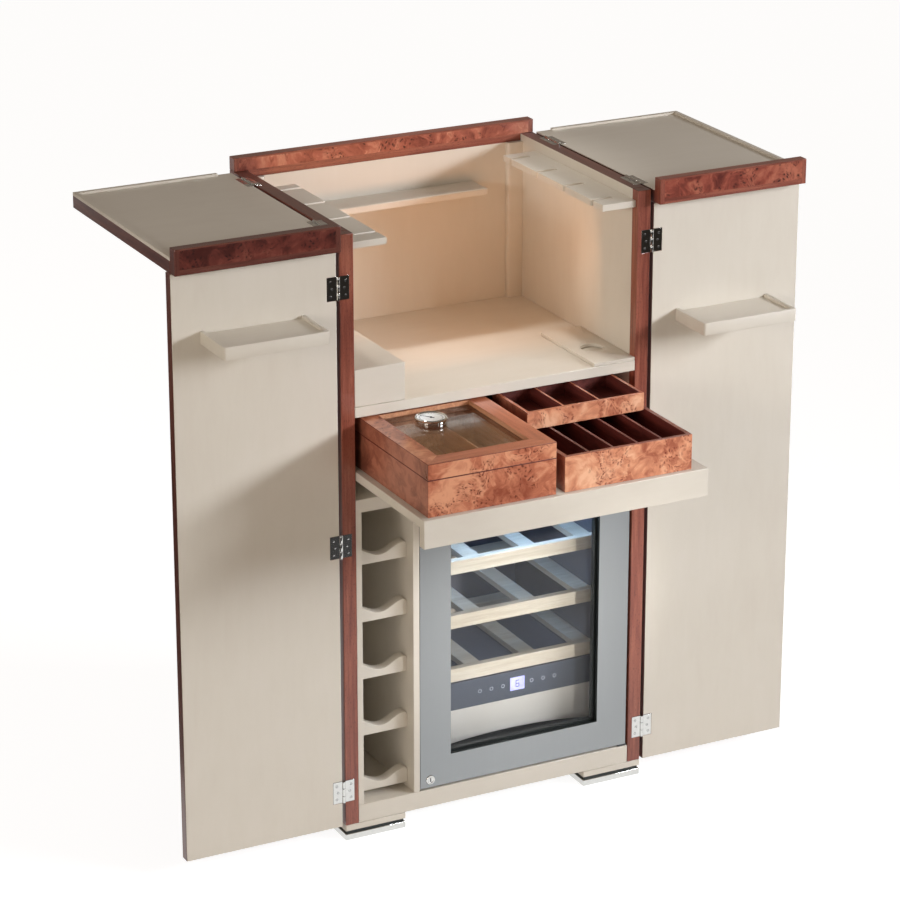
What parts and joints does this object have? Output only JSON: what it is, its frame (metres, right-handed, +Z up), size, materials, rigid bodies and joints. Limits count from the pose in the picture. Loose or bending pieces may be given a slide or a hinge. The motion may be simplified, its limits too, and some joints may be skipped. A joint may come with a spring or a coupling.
{
  "type": "bar cabinet",
  "caption": "Upright bar cabinet standing open: hinged doors and fold-back top flaps around a bar, a pull-out tray of boxes, a bottle rack and a glazed wine cooler.",
  "frame": {"origin": "on the floor, under the middle of the bounding box", "axes": "+X to the right across both open doors, +Y from the front to the back, +Z up"},
  "size_m": [1.2312, 0.7214, 1.165],
  "materials": {
    "cream_lacquer": "cream satin lacquer",
    "mahogany": "polished mahogany veneer",
    "red_burl": "polished reddish burl veneer",
    "tan_burl": "polished orange-tan burl veneer",
    "beech": "pale plain wood",
    "skid": "dark block clad in bright metal",
    "brushed_frame": "brushed",
    "cooler_dark": "matt dark grey",
    "glass": "clear",
    "chrome": "bright"
  },
  "bodies": {
    "carcass": {"left_side_panel": "cream_lacquer", "right_side_panel": "cream_lacquer", "left_front_post": "mahogany", "right_front_post": "mahogany", "back_panel": "cream_lacquer", "back_rail": "red_burl", "base_panel": "cream_lacquer", "left_skid": "skid", "right_skid": "skid", "bar_floor": "cream_lacquer", "bar_back_shelf": "cream_lacquer", "left_glass_rack": "cream_lacquer", "right_glass_rack": "cream_lacquer", "step_box": "cream_lacquer", "lift_out_board": "cream_lacquer", "bottle_rack": "cream_lacquer", "rack_divider": "cream_lacquer", "cooler_case": "cooler_dark", "cooler_shelf_1": "beech", "cooler_shelf_2": "beech", "cooler_shelf_3": "beech", "left_top_post_leaf": "chrome", "left_middle_post_leaf": "chrome", "left_bottom_post_leaf": "chrome", "right_top_post_leaf": "chrome", "right_middle_post_leaf": "chrome", "right_bottom_post_leaf": "chrome", "left_front_wall_leaf": "chrome", "left_rear_wall_leaf": "chrome", "right_front_wall_leaf": "chrome", "right_rear_wall_leaf": "chrome"},
    "left_hinge_pin": {"left_hinge_pin": "chrome"},
    "right_hinge_pin": {"right_hinge_pin": "chrome"},
    "left_door": {"left_door": "cream_lacquer", "left_door_shelf": "cream_lacquer", "left_top_door_leaf": "chrome", "left_middle_door_leaf": "chrome", "left_bottom_door_leaf": "chrome"},
    "right_door": {"right_door": "cream_lacquer", "right_door_shelf": "cream_lacquer", "right_top_door_leaf": "chrome", "right_middle_door_leaf": "chrome", "right_bottom_door_leaf": "chrome"},
    "left_flap": {"left_flap": "cream_lacquer", "left_flap_strip": "red_burl", "left_front_flap_leaf": "chrome", "left_rear_flap_leaf": "chrome"},
    "right_flap": {"right_flap": "cream_lacquer", "right_flap_strip": "red_burl", "right_front_flap_leaf": "chrome", "right_rear_flap_leaf": "chrome"},
    "tray": {"pull_out_tray": "cream_lacquer", "humidor_box": "tan_burl", "chips_box": "tan_burl"},
    "card_box": {"card_box": "tan_burl"},
    "humidor_lid": {"humidor_lid": "tan_burl", "humidor_glass": "glass"},
    "cooler_door": {"cooler_door_frame": "brushed_frame", "cooler_door_glass": "glass"},
    "cooler_lock": {"cooler_lock": "chrome"}
  },
  "joints": [
    {"name": "left_door_first_half", "type": "hinge", "parent": "carcass", "child": "left_hinge_pin", "pos_m": [-0.3083, -0.09975, 0.572], "axis": [0, 0, 1], "range_deg": [0, 90]},
    {"name": "left_door_second_half", "type": "hinge", "parent": "left_hinge_pin", "child": "left_door", "pos_m": [-0.3083, -0.09975, 0.572], "axis": [0, 0, 1], "range_deg": [0, 90]},
    {"name": "right_door_first_half", "type": "hinge", "parent": "carcass", "child": "right_hinge_pin", "pos_m": [0.3083, -0.09975, 0.572], "axis": [0, 0, -1], "range_deg": [0, 90]},
    {"name": "right_door_second_half", "type": "hinge", "parent": "right_hinge_pin", "child": "right_door", "pos_m": [0.3083, -0.09975, 0.572], "axis": [0, 0, -1], "range_deg": [0, 90]},
    {"name": "left_flap_fold", "type": "hinge", "parent": "carcass", "child": "left_flap", "pos_m": [-0.3083, 0.12, 1.1405], "axis": [0, 1, 0], "range_deg": [0, 180]},
    {"name": "right_flap_fold", "type": "hinge", "parent": "carcass", "child": "right_flap", "pos_m": [0.3083, 0.12, 1.1405], "axis": [0, -1, 0], "range_deg": [0, 180]},
    {"name": "tray_slide", "type": "slide", "parent": "carcass", "child": "tray", "axis": [0, 1, 0], "range_m": [-0.045, 0.262]},
    {"name": "card_box_slide", "type": "slide", "parent": "tray", "child": "card_box", "axis": [0, 1, 0], "range_m": [-0.143, 0]},
    {"name": "humidor_lid_hinge", "type": "hinge", "parent": "tray", "child": "humidor_lid", "pos_m": [-0.1425, -0.05925, 0.7728], "axis": [1, 0, 0], "range_deg": [-5.5, 0]},
    {"name": "cooler_door_hinge", "type": "hinge", "parent": "carcass", "child": "cooler_door", "pos_m": [0.2682, -0.09075, 0.355], "axis": [0, 0, -1], "range_deg": [-105, 0]},
    {"name": "cooler_lock_turn", "type": "hinge", "parent": "cooler_door", "child": "cooler_lock", "pos_m": [-0.1331, -0.09725, 0.0826], "axis": [0, 1, 0], "range_deg": [-90, 0]}
  ]
}
